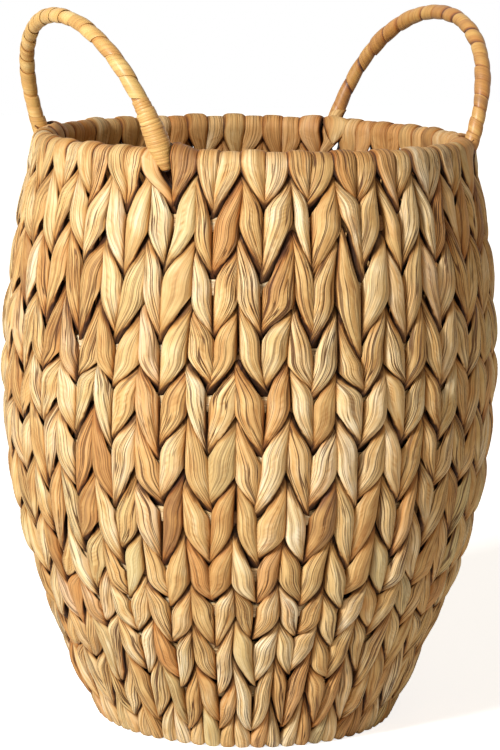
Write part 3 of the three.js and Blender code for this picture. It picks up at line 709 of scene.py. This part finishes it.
# %% Half straps
def half_strap(first_outside, last):
    """One half of every strap, from the rim to the row line number last.

    first_outside is 0 for the half that leaves the rim outside and 1 for the other. The half has turned
    by pi (t - first_outside) round the pair's middle. A front point at the angle a from outward has
    x = width sin(a) and out = reach cos(a), both squared off a little, times its share.
    """
    t = np.linspace(0, last, LAST_ROW * STEPS_A_ROW + 1)[:, None]
    t = np.broadcast_to(t, (LEAF_COLUMNS, *t.shape))
    from_ends = np.minimum(t, LAST_ROW - t)
    fade = unit(from_ends / EVEN_ROWS)
    at_ends = unit(1 - from_ends / HELD_ROWS)
    near_rim = eased(1 - t / HELD_ROWS)
    near_foot = eased(1 - (LAST_ROW - t) / FOOT_ROWS)
    wander = (smooth_rows(phase_noise, t) + smooth_rows(row_noise(OWN_PHASE), t)) * fade
    turned = math.pi * (t + wander - first_outside)
    tau = (turned / math.pi + 1) % 2 - 1
    station = np.interp(t, np.arange(LAST_ROW + 1), row_stations)
    half_column = math.pi * read_line(station, outline_station, outline)[..., 0] / LEAF_COLUMNS
    stretch, stretch_in = (
        np.floor((t - first_outside + face) / 2 + 0.001).astype(int) for face in (1, 2)
    )

    lines = line_places + first_outside * rim_slant
    left_line = smooth_rows(lines, t)
    right_line = smooth_rows(np.roll(lines, -1, axis=0), t)
    scale = half_column / half_column.max() * fade
    wide = half_column * (FULLNESS + own_way(OWN_WIDTH, first_outside, t) * fade)
    wide = wide + (right_line - left_line) / 2 * scale
    wide = wide * (1 + (WIDTH_AT_RIM - 1) * near_rim + (WIDTH_AT_FOOT - 1) * near_foot)
    shift = ((left_line + right_line) / 2 * leans_back + own_way(OWN_SHIFT, first_outside, t)) * scale
    parting = eased(1 - (t - LEG_START) / LEG_ROWS[first_outside]) * LEG_PARTING[first_outside]
    wide = wide + (right_push - left_push) / 2 * parting
    shift = shift + (right_push + left_push) / 2 * leans_back * parting

    swell = 1 + OWN_SWELL * smooth_rows(row_noise(1), t) * fade
    angle = turned + math.pi / 2 * front_places
    outside = np.cos(angle) > 0
    tuck = TUCK + TUCK_SPREAD * per_stretch(random.normal(0, 1, (LEAF_COLUMNS, STRETCHES)), stretch)
    tuck = TUCK_AT_ENDS + (np.clip(tuck, *TUCK_LIMITS) - TUCK_AT_ENDS) * fade
    share = front_shares - tuck * tucked_part
    outer_reach = OUTER_REACH * swell * (1 - REACH_LOSS * np.sin(math.pi * tau / 2) ** 2)
    inner_reach = INNER_REACH * swell * (1 - REACH_LOSS * np.cos(math.pi * tau / 2) ** 2)
    end_reach = RING_DEPTH - 0.1 + (0.5 * leans_back + rim_bulge) * (t < 1)
    foot_fullness = FOOT_FULLNESS * climbing(t, LAST_ROW - FOOT_FULL_ROWS, FOOT_FULL_CLIMB)
    outer_reach = blend(outer_reach, end_reach, at_ends) + foot_fullness
    inner_reach = blend(inner_reach, end_reach, at_ends)
    power = ROUNDNESS + (RIM_ROUNDNESS - ROUNDNESS) * near_rim + (FOOT_ROUNDNESS - ROUNDNESS) * near_foot
    x = wide * squared(np.sin(angle), power) * share
    out = np.where(outside, outer_reach, inner_reach) * squared(np.cos(angle), power) * share

    outer_face = leaf_face(x, wide, tau, stretch, t)
    inner_face = leaf_face(x, wide, -((tau + 2) % 2 - 1), stretch_in, t)
    place, narrow, relief, valley = (np.where(outside, *faces) for faces in zip(outer_face, inner_face))
    growth = 1 + relief * (1 - RELIEF_LOSS_AT_RIM * near_rim) / (np.hypot(x, out) + 1e-6)
    x, out = x * growth, out * growth
    toward_leg = unit((1 + leg_side * leans_back * x / wide) / 2)
    climb = LEG_CLIMB * leg_lift * unit(1 - t / LIFT_ROWS) ** 2 * toward_leg**2
    facing_x, facing_out = np.sin(turned), np.cos(turned)
    out = out + climb * np.sign(facing_out)
    clearance = HOOP_CLEARANCE * facing_out**2 - HALVES_PRESSED * facing_x**2
    lacking = np.maximum(0, clearance - (x * facing_x + out * facing_out))
    x, out = x + lacking * facing_x, out + lacking * facing_out
    back = shares_between(BACK_POINTS)
    x, out = (with_back(line, blend(line[..., -1:], line[..., :1], back)) for line in (x, out))
    x = x + shift
    depth = blend(PAIR_DEPTH + smooth_rows(depth_noise, t) * fade, RING_DEPTH, at_ends)

    edge = climbing(np.abs(place) + 0.17 * near_rim, *EDGE_SHADE)
    tip = climbing(narrow, *TIP_SHADE) * TIP_DARKNESS
    under = climbing(front_places, *UNDER_SHADE) * fade
    from_middle = np.abs(x[..., :FRONT_POINTS] - shift) / wide
    beside = climbing(from_middle, *BESIDE_SHADE) * BESIDE_DARKNESS
    beside = beside * unit(from_ends / BESIDE_ROWS[first_outside])
    shade = unit(np.max([edge, under, beside, tip + 0.5 * edge], axis=0) + VALLEY_DARKNESS * valley)
    inward = with_back(~outside, facing_out < 0)
    looks = []
    for table in (leaf_tones, leaf_warmths, leaf_plainness):
        outer_look, inner_look = map(per_stretch, table[first_outside], (stretch, stretch_in))
        looks.append(np.where(inward, inner_look, outer_look))
    tilt = LEAF_TILT * np.gradient(station[0, :, 0], t[0, :, 0])[:, None]
    down = wall_down(station[..., 0])
    return {
        "spot": wall_point(station[..., 0], depth[..., 0]),
        "facing": np.stack([-down[..., 1], down[..., 0]], axis=-1),
        "down": down,
        "x": x,
        "out": out,
        "lower": -x / half_column * (tilt * fade),
        "across": with_back(place * (0.5 + 0.6 * narrow), BACK_ACROSS_CM),
        "marks": together(looks[0], with_back(shade, 1), looks[1], seeds, looks[2]),
    }


outside_half = half_strap(0, INSIDE_END)
inside_half = half_strap(1, LAST_ROW)
print("rings in a half strap:", outside_half["spot"].shape[1])

# %% [markdown]
# ## From half straps to whole ones
#
# A strap's path runs up the wall on the outside, over the rim wire and down again on the inside. At the
# foot the half that ends outside turns under the foot wire and lies flat towards the base. The section
# turns over at the rim with the path, so the second half's section is read in the other order.

# %% Paths and sections of the whole straps
RIM_ARC_STEPS = 9
FOOT_ARC_STEPS = 6
FOOT_TONGUE_STEPS = 4
FOOT_TONGUE_END = 94
FLOOR_CLEARANCE = 0.2
TONGUE_THICKNESS = 2.0
LEAST_STEP = 1.2
UNDER_COUNT = FOOT_ARC_STEPS + FOOT_TONGUE_STEPS + 1
other_order = (FRONT_POINTS - 1 - np.arange(SECTION_POINTS)) % SECTION_POINTS
for key in ("x", "out", "lower", "across", "marks"):
    inside_half[key] = inside_half[key][:, :, other_order]


def turned_normals(start, end, share):
    """Directions that turn evenly from start to end."""
    turn = start + (end - start) * share
    return np.stack([np.cos(turn), np.sin(turn)], axis=-1)


def whole_strap(key, over=None, under=None):
    """One value from end to end: up the outside, over the rim, down the inside and under the foot.

    Without rows of its own, the rim blends from one half to the other and the foot repeats its last row.
    """
    outer, inner = outside_half[key], inside_half[key]
    if over is None:
        over = blend(outer[:, :1], inner[:, :1], rim_share.reshape(-1, *[1] * (outer.ndim - 2)))
    if under is None:
        under = np.repeat(inner[:, -1:], UNDER_COUNT, axis=1)
    over, under = (
        np.broadcast_to(rows, (LEAF_COLUMNS, *rows.shape[1 - outer.ndim:])) for rows in (over, under)
    )
    return np.concatenate([outer[:, ::-1], over, inner, under], axis=1)


rim_share = shares_between(RIM_ARC_STEPS)
rim_start, foot_start = (
    math.atan2(up, out) for out, up in (outside_half["facing"][0, 0], inside_half["facing"][0, -1])
)
rim_normal = turned_normals(rim_start, rim_start + math.pi, rim_share)
foot_normal = turned_normals(foot_start, -math.pi / 2, shares_between(FOOT_ARC_STEPS))
tongue_radius = np.linspace(foot_ring[0], FOOT_TONGUE_END, FOOT_TONGUE_STEPS + 1)
under_spot = np.vstack([np.tile(foot_ring, (FOOT_ARC_STEPS, 1)), together(tongue_radius, foot_ring[1])])
under_normal = np.vstack([foot_normal, np.tile([0.0, -1.0], (FOOT_TONGUE_STEPS + 1, 1))])
under_share = np.linspace(0, 1, UNDER_COUNT + 1)[1:, None]
under_fade = np.interp(under_share, [0, 0.8, 1], [1, 0.8, 0.3])
thin = 1 - under_share * (1 - TONGUE_THICKNESS / (RING_DEPTH - HOOP_CLEARANCE))
last_out = inside_half["out"][:, -1:]
sole_reach = (foot_ring[1] - FLOOR_CLEARANCE) / np.maximum(-under_normal[:, 1:], 0.2)
largest = last_out.max(axis=-1, keepdims=True)
fitted = np.minimum(largest, sole_reach)
spot = whole_strap("spot", np.tile(rim_ring, (RIM_ARC_STEPS, 1)), under_spot)
facing = whole_strap("facing", rim_normal, under_normal)
down = whole_strap("down", np.zeros((RIM_ARC_STEPS, 2)), np.zeros((UNDER_COUNT, 2)))
side = whole_strap("x", under=inside_half["x"][:, -1:] * under_fade)
out = whole_strap(
    "out",
    over=blend(outside_half["out"][:, :1], -inside_half["out"][:, :1], rim_share[:, None]),
    under=fitted - (fitted - last_out * fitted / largest) * thin,
)
lower, across_cm, marks = (whole_strap(key) for key in ("lower", "across", "marks"))
step_length = np.hypot(np.linalg.norm(np.diff(spot, axis=1), axis=-1), LEAST_STEP)
distance = np.concatenate([np.zeros((LEAF_COLUMNS, 1)), np.cumsum(step_length, axis=1)], axis=1)
print("rings in a strap:", spot.shape[1], "and its path, mm:", round(float(distance[0, -1])))

# %% Make the straps
STRAP_PIECES = 9
up_axis = np.array([0.0, 0.0, 1.0])
radial_axis, round_axis = (
    together(np.cos(turn), np.sin(turn), 0)[:, None, None]
    for turn in (column_turn, column_turn + math.pi / 2)
)


def in_column(pairs):
    """Turns (radius, height) pairs into points or directions in each column's own upright plane."""
    return pairs[:, :, None, :1] * radial_axis + pairs[:, :, None, 1:] * up_axis


strap_points = (
    in_column(spot)
    + out[..., None] * in_column(facing)
    + lower[..., None] * in_column(down)
    + (side * leans_back)[..., None] * round_axis
)
mirrored = leans_back[:, 0, 0] < 0
for values in (strap_points, across_cm, marks):
    values[mirrored] = values[mirrored][:, :, ::-1]
edges = np.linspace(0, LEAF_COLUMNS, STRAP_PIECES + 1).astype(int)
for number in range(STRAP_PIECES):
    part = slice(edges[number], edges[number + 1])
    straps = band_mesh(
        f"leaf_straps_{number + 1}", strap_points[part], across_cm[part], distance[part][..., None] / 10,
        marks[part], strap_leaf, turned=mirrored[part],
    )
    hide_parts("outer_weave", "inner_weave", "rim_fold", "foot_fold")

# %% [markdown]
# ## Hoops
#
# At each hoop's row line a flat hoop wrapped lengthwise in pale leaf runs round the wall. It shows only
# as small patches in the corners of the V shapes. A rounded rectangle turned round the axis is enough,
# with a slight wobble and with the grain running along it.

# %% Make the hoops
HOOP_DEPTH = 9.6
HOOP_HALF_WIDTH = 6.6
HOOP_HALF_THICKNESS = 2.3
HOOP_STEPS = 186
HOOP_SECTION = 16
HOOP_WOBBLE = 0.35
hoop_turn = np.linspace(0, math.tau, HOOP_STEPS + 1)
section_turn = np.linspace(0, math.tau, HOOP_SECTION, endpoint=False)
hoop_out = -squared(np.cos(section_turn), 0.5) * HOOP_HALF_THICKNESS
hoop_below = squared(np.sin(section_turn), 0.5) * HOOP_HALF_WIDTH
hoop_shade = (0.42 - 0.34 * np.cos(hoop_turn * LEAF_COLUMNS / 2))[:, None]
for number, station in enumerate(hoop_stations, start=1):
    down = wall_down(station)
    middle = wall_point(station, HOOP_DEPTH)
    wobble = sum(HOOP_WOBBLE * np.cos(k * hoop_turn + random.random() * PHASE_SPREAD) for k in (3, 5, 9))
    plane = middle + hoop_out[:, None] * np.array([down[1], -down[0]]) + hoop_below[:, None] * down
    radius = plane[:, 0] + wobble[:, None]
    points = together(radius * np.cos(hoop_turn)[:, None], radius * np.sin(hoop_turn)[:, None], plane[:, 1])
    along = (hoop_turn * middle[0] / 10)[:, None]
    tone = 0.62 + random.normal(0, 0.04)
    marks = together(tone, hoop_shade, 0.45, random.random())
    hoop = band_mesh(
        f"leaf_hoop_{number:02d}", points[None, :, ::-1], np.arange(HOOP_SECTION) * 0.25, along, marks,
        hoop_leaf,
    )
    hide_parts(f"hoop_{number:02d}")

# %% [markdown]
# ## Base
#
# The base is two mats of flat leaf, one above the wire cross and one below it. Each is a plain weave:
# straps one way pass over and under the straps the other way, as a wave along each strap. The straps
# end where the mat's round edge cuts them.

# %% Make the base mats
STRAP_PITCH = 17.5
MAT_WAVE = 1.0
WAVE_FLATNESS = 1.3
MAT_HALF_THICKNESS = 0.85
MAT_STEPS_A_STRAP = 10
MAT_OVERREACH = 4.5
mat_across, mat_out = leaf_section(6, 4)


def mat(name, node):
    """A woven disc in the box of a node.

    Height above its middle = wave sin(1.3 cos(pi x / pitch + pi n)) / sin 1.3, with n the strap's number.
    """
    low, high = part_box(node)
    radius = (high.x - low.x) / 2 / MM + MAT_OVERREACH
    middle = (low.z + high.z) / 2 / MM
    count = int(2 * radius / STRAP_PITCH)
    lines = (np.arange(count) - (count - 1) / 2) * STRAP_PITCH
    reach = np.sqrt(radius**2 - (np.abs(lines) + 0.35 * STRAP_PITCH) ** 2)
    x = reach[:, None] * np.linspace(-1, 1, count * MAT_STEPS_A_STRAP + 1)
    bands = []
    for way in (0, 1):
        parity = math.pi * (np.arange(count)[:, None] + way * (count % 2))
        phase = math.pi * (x / STRAP_PITCH + (count - 1) / 2) + parity
        wave = MAT_WAVE * np.sin(WAVE_FLATNESS * np.cos(phase)) / math.sin(WAVE_FLATNESS)
        wide = STRAP_PITCH * (0.5 + random.normal(0, 0.012, (count, 1, 1)))
        beside = lines[:, None, None] + wide * mat_across
        tall = middle + wave[..., None] + MAT_HALF_THICKNESS * squared(mat_out, 0.5)
        bands.append(together(*((-beside, x[..., None]) if way else (x[..., None], beside)), tall))
    tone, warm = (unit(random.normal(mean, 0.1, 2 * count)) for mean in (0.5, 0.55))
    marks = together(tone, 0.25, warm, random.random(2 * count))[:, None, None]
    along = np.concatenate([x, x])[..., None] / 10
    points = np.concatenate(bands)[:, :, ::-1]
    piece = band_mesh(name, points, mat_across[::-1] * 0.9, along, marks, base_leaf)
    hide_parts(node)


mat("base_mat_upper", "base_weave_upper")
mat("base_mat_lower", "base_weave_lower")

# %% [markdown]
# ## Handles
#
# Each handle is a rod bent into an arch and wound with one long strip of leaf. The strip is a band on
# a helix round the rod. It is a little wider than the step between two turns, and its leading edge is
# raised, so each turn laps over the next one as roof tiles do.

# %% The arch
HANDLE_ROD_RADIUS = 3.8
HANDLE_FOOT_DROP = 8
HANDLE_RISE = 128
HANDLE_LEAN = math.radians(20)
HANDLE_FULLNESS = 0.8
HANDLE_GAP = 0.3
ARCH_POINTS = 4001
ARCH_END = 0.5
# Turns a point on the right handle half round, onto the left one.
OTHER_SIDE = np.array([-1, -1, 1])
weld_radius = rim_ring[0] + RING_WIRE_RADIUS + HANDLE_GAP + HANDLE_ROD_RADIUS
handle_foot_radius = weld_radius - HANDLE_FOOT_DROP * math.tan(HANDLE_LEAN) * math.cos(HANDLE_FOOT_ANGLE)
arch_turn = np.linspace(0, math.pi, ARCH_POINTS)
climb = HANDLE_RISE * np.sin(arch_turn).clip(0) ** HANDLE_FULLNESS
arch = np.stack([
    handle_foot_radius * math.cos(HANDLE_FOOT_ANGLE) + climb * math.sin(HANDLE_LEAN),
    -handle_foot_radius * math.sin(HANDLE_FOOT_ANGLE) * np.cos(arch_turn),
    rim_ring[1] - HANDLE_FOOT_DROP + climb * math.cos(HANDLE_LEAN),
], axis=-1)
arch_distance, arch_along = measured(arch)
arch_normal = np.array([-math.cos(HANDLE_LEAN), 0, math.sin(HANDLE_LEAN)])
handle_length = arch_distance[-1]


def beside_arch(distance, radius, turn):
    """A point at a distance along the arch, a radius away from it and a turn round it."""
    point = read_line(distance, arch_distance, arch)
    across = np.cross(arch_normal, read_line(distance, arch_distance, arch_along))
    across /= np.linalg.norm(across, axis=-1, keepdims=True)
    sideways, outward = radius * np.cos(turn), radius * np.sin(turn)
    return point + across * sideways[..., None] + arch_normal * outward[..., None]


def wavering(turn, mean, size, offset=1):
    """A random value for each turn, eased between them."""
    return smooth_between(random.normal(mean, size, round(turn[-1, 0]) + 3), turn + offset)


def wound_strip(name, turn, distance, radius, across_cm, run_radius, marks, mirrored):
    """A band on a helix round the arch, at these distances along it and radii away from it."""
    distance = np.clip(distance, ARCH_END, handle_length - ARCH_END)
    points = beside_arch(distance, radius, math.tau * turn) * (OTHER_SIDE if mirrored else 1)
    run = np.abs(turn) * math.tau * run_radius / 10
    return band_mesh(name, points[None], across_cm, run, marks, handle_leaf)


print("handle length, mm:", round(float(handle_length), 1))

# %% The leaf wound round it
WRAP_TURNS = 22
WRAP_STEPS = 30
WRAP_START = 5
WRAP_TIGHTER = 0.42
WRAP_INNER = 4.4
WRAP_OUTER = 6.3
WRAP_RAISE = 0.55
WRAP_OVERLAP = 3.6
WRAP_CROWN = 0.35
WRAP_THICKNESS = 0.55
# Painted shade across the strip: its buried edge where the next turn covers it, its open face and its raised
# edge.
LAP_PLACES, LAP_SHADES = (-1, -0.64, -0.40, 0.85, 1), (0.95, 0.95, 0.05, 0, 0.5)
wrap_across, wrap_out = leaf_section(13, 5)


def wound_leaf(name, node, mirrored, mean_tone, mean_warmth, lap_shade_range):
    """The strip on the arch: its middle climbs one pitch a turn, and its radius rises across it.

    The pitch grows along the arch. The last argument gives the least and the greatest painted shade along a
    lap's line, where one turn covers the next.
    """
    usable = handle_length - 2 * WRAP_START
    turn = np.linspace(0, WRAP_TURNS, WRAP_TURNS * WRAP_STEPS + 1)[:, None]
    place = (turn + 0.5) / (WRAP_TURNS + 1)
    middle = WRAP_START + usable * ((1 - WRAP_TIGHTER) * place + WRAP_TIGHTER * place**2)
    middle = middle + wavering(turn, 0, 1.3)
    pitch = usable * (1 - WRAP_TIGHTER + 2 * WRAP_TIGHTER * place) / (WRAP_TURNS + 1)
    half = (pitch + WRAP_OVERLAP) / 2 * (1 + 0.06 * wavering(turn, 0, 1, 1.5))
    swell = 0.3 * wavering(turn, 0, 1, 1.2)
    s = wrap_across
    rounding = WRAP_CROWN * (1 - s**2)
    radius = WRAP_OUTER + swell + WRAP_RAISE * s + rounding + (WRAP_THICKNESS + rounding) * (wrap_out - 1)
    radius = np.maximum(radius, WRAP_INNER)
    tone, warm = (wavering(2 * turn, mean, 0.08) for mean in (mean_tone, mean_warmth))
    # Painted shade along each lap line, deeper on some turns than on others.
    painted_lap_shade = smooth_between(random.uniform(*lap_shade_range, WRAP_TURNS + 3), turn + 1)
    marks = together(tone, painted_lap_shade * np.interp(s, LAP_PLACES, LAP_SHADES), warm, 0.37)
    piece = wound_strip(name, -turn, middle + half * s, radius, s * 0.9, WRAP_OUTER, marks, mirrored)
    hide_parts(node)


# The right handle is darker and warmer with deeper painted lap shade: partly its own golden-brown leaf,
# partly painted shade for the side away from the key lamp.
wound_leaf("handle_winding_right", "handle_wrap_right", False, 0.43, 0.60, (0.35, 1.0))
wound_leaf("handle_winding_left", "handle_wrap_left", True, 0.60, 0.46, (0.10, 0.60))

# %% [markdown]
# ## Lashings
#
# One leg is bound with a narrow strip in many close turns, which is the same helix with a radius that
# swells and falls. At each foot a saddle of leaf comes down the leg's inner side and spreads over the
# rim. A saddle is a sheet carried along a path. Across it, it wraps round the leg at the top and lies
# flat on the wall below.

# %% The close binding
# A narrow strip wound round the near leg of the left handle, from its end upwards.
BINDING_LENGTH = 62
BINDING_TURNS = 23
BINDING_STEPS = 22
BINDING_OVERLAP = 1.5
BINDING_PLACES = (0, 3, 10, 24, 36, 50, 62)
BINDING_RADII = (4.4, 5.4, 7.3, 9.9, 8.9, 7.6, 6.6)
s, binding_out = leaf_section(6, 3)
pitch = BINDING_LENGTH / (BINDING_TURNS + 1)
turn = np.linspace(0, BINDING_TURNS, BINDING_TURNS * BINDING_STEPS + 1)[:, None]
middle = pitch / 2 + pitch * turn + 0.35 * wavering(turn, 0, 1)
place = middle + (pitch + BINDING_OVERLAP) / 2 * s
rounding = 0.3 * (1 - s**2)
radius = np.interp(place, BINDING_PLACES, BINDING_RADII) + 0.25 * wavering(turn, 0, 1)
radius = radius + 0.3 * s + rounding + (0.35 + rounding) * (binding_out - 1)
# Painted shade on the edge of each turn where it goes under the next turn.
marks = together(wavering(turn, 0.60, 0.08), np.where(s < -0.4, 0.7, 0.05), 0.5, 0.61)
binding = wound_strip("leg_binding", turn, handle_length - place, radius, s * 0.3, 8, marks, True)
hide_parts("handle_lashing_left_2")

# %% Saddles at the feet
SADDLE_STEPS, SADDLE_THICKNESS = 40, 1.0
LEG_WRAP_RADIUS, LEG_WRAP_REACH = 7.2, math.radians(88)
LEG_PLACES = np.array([0.02, 0.25, 0.44, 0.62, 0.81, 1])
saddle_across, saddle_out = leaf_section(15, 5)


def eased_path(knots, count):
    """A smooth curve through rows of numbers: a Catmull-Rom spline read at evenly spaced shares."""
    padded = np.vstack([2 * knots[0] - knots[1], knots, 2 * knots[-1] - knots[-2]])
    place = np.linspace(0, len(knots) - 1, count)
    low = np.clip(place.astype(int), 0, len(knots) - 2)
    share = (place - low)[:, None]
    a, b, c, d = (padded[low + step] for step in range(4))
    return b + 0.5 * share * (c - a + share * (2 * a - 5 * b + 4 * c - d + share * (3 * (b - c) + d - a)))


def saddle(name, foot, top, lean, tip, breadth, warm, node):
    """A leaf that clasps the leg at a foot (0 to 3), spreads over the rim and runs to a point inside.

    Each knot is a point and a direction in the (radius, height) plane, a half width, how much the leaf
    wraps round the leg there, from 1 to 0, and how far it stands aside. Top is how far up the leg it
    starts. Lean and tip carry its broad part and its point aside.
    """
    handle, end = divmod(foot, 2)
    distance = handle_length - top * LEG_PLACES if end else top * LEG_PLACES
    leg = beside_arch(distance, np.zeros(6), np.zeros(6)) * (OTHER_SIDE if handle else 1)
    turn = math.atan2(leg[0, 1], leg[0, 0])
    radial = np.array([math.cos(turn), math.sin(turn), 0])
    sideways = np.array([-math.sin(turn), math.cos(turn), 0])
    flat = np.stack([leg @ radial, leg[:, 2]], axis=-1)
    slide = leg @ sideways
    rows = [
        (flat[5] + (-4.6, 0), (-1, 0.2), 5.0, 1, slide[5]),
        (flat[4] + (-LEG_WRAP_RADIUS, 0), (-1, 0.2), 7.5, 1, slide[4]),
        (flat[3] + (-LEG_WRAP_RADIUS - 0.4, 0), (-1, 0.35), 9.0, 0.8, slide[3]),
        (rim_ring + (-2.5, 11.8), (-0.72, 0.7), 0.85 * breadth, 0.4, slide[2] + 0.3 * lean),
        (rim_ring + (-8.2, 8.2), (-0.75, 0.66), breadth, 0.1, slide[1] + 0.8 * lean),
        (rim_ring + (-11.6, 1), (-1, 0.1), 0.8 * breadth, 0, slide[0] + 0.8 * lean + 0.2 * tip),
        (rim_ring + (-11.2, -7), (-1, 0), 0.45 * breadth, 0, slide[0] + 0.3 * lean + 0.7 * tip),
        (rim_ring + (-9.6, -13), (-1, 0), 1.5, 0, slide[0] + tip),
    ]
    knots = np.array([[*point, *facing, half, wrap, slid] for point, facing, half, wrap, slid in rows])
    path = eased_path(knots, SADDLE_STEPS)
    facing = path[:, 2:4] / np.linalg.norm(path[:, 2:4], axis=1, keepdims=True)
    half, wrap, slid = path[:, 4:5], unit(path[:, 5:6]), path[:, 6:7]
    s = saddle_across
    reach = LEG_WRAP_REACH * s
    x = blend(half * s, LEG_WRAP_RADIUS * np.sin(reach), wrap) + slid
    drop = blend(-0.8 * s**2, LEG_WRAP_RADIUS * (np.cos(reach) - 1), wrap)
    phase = math.tau * random.random() + 0.02 * np.arange(SADDLE_STEPS)[:, None]
    ridges = np.abs(np.cos(3.1 * s + phase)) ** 0.7
    thick = SADDLE_THICKNESS * (1 - 0.6 * s**2) * saddle_out
    lift = drop + thick + 0.6 * (ridges - 0.6) * (saddle_out > 0) * (1 - s**2)
    plane = path[:, None, :2] + lift[..., None] * facing[:, None, :]
    points = plane[..., :1] * radial + plane[..., 1:] * up_axis + x[..., None] * sideways
    run = measured(path[:, :2])[0][:, None] / 10
    shade = unit(climbing(np.abs(s), 0.55, 0.40, 1.5) * 0.9 + 0.5 * unit(0.5 - ridges))
    tone = 0.50 + random.normal(0, 0.05)
    marks = together(tone, shade, warm, random.random(), 0.8)
    piece = band_mesh(name, points[None], s * half / 10, run, marks, strap_leaf)
    if node:
        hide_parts(node)


saddle("saddle_1", 0, 20, 1, 4, 13, 0.55, "handle_lashing_right_1")
saddle("saddle_2", 1, 28, -15, -10, 16, 0.6, "handle_lashing_right_2")
saddle("saddle_3", 2, 21, 2, 5, 15, 0.8, "handle_lashing_left_1")
saddle("saddle_4", 3, 20, -1, -4, 13, 0.5, None)

# %% [markdown]
# ## Iron
#
# The rings, uprights, cross and handle rods keep the frame's own shapes. They are black lacquered
# wire, nearly hidden, with a little rust-brown mottling.

# %% Iron finish
IRON_COLOURS = ((0.4, (0.022, 0.02, 0.018)), (0.7, (0.075, 0.04, 0.024)))
iron, tree, shader = new_material("iron_wire")
place = add_node(tree, "TexCoord").outputs["Object"]
mottling = add_node(tree, "TexNoise", {"Vector": place, "Scale": 180, "Detail": 4}).outputs["Fac"]
inputs = {"Strength": 0.3, "Distance": 0.0004, "Height": mottling}
feed(tree, shader, {
    "Base Color": ramp(tree, mottling, IRON_COLOURS),
    "Metallic": 0.6,
    "Roughness": math_node(tree, "ADD", 0.35, math_node(tree, "MULTIPLY", mottling, 0.4)),
    "Normal": add_node(tree, "Bump", inputs).outputs[0],
})
iron_nodes = [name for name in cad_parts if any(word in name for word in ("ring", "wire", "rod"))]
for name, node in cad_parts.items():
    node.data.materials.clear()
    node.data.materials.append(iron if name in iron_nodes else handle_leaf)
print("nodes with iron:", len(iron_nodes))
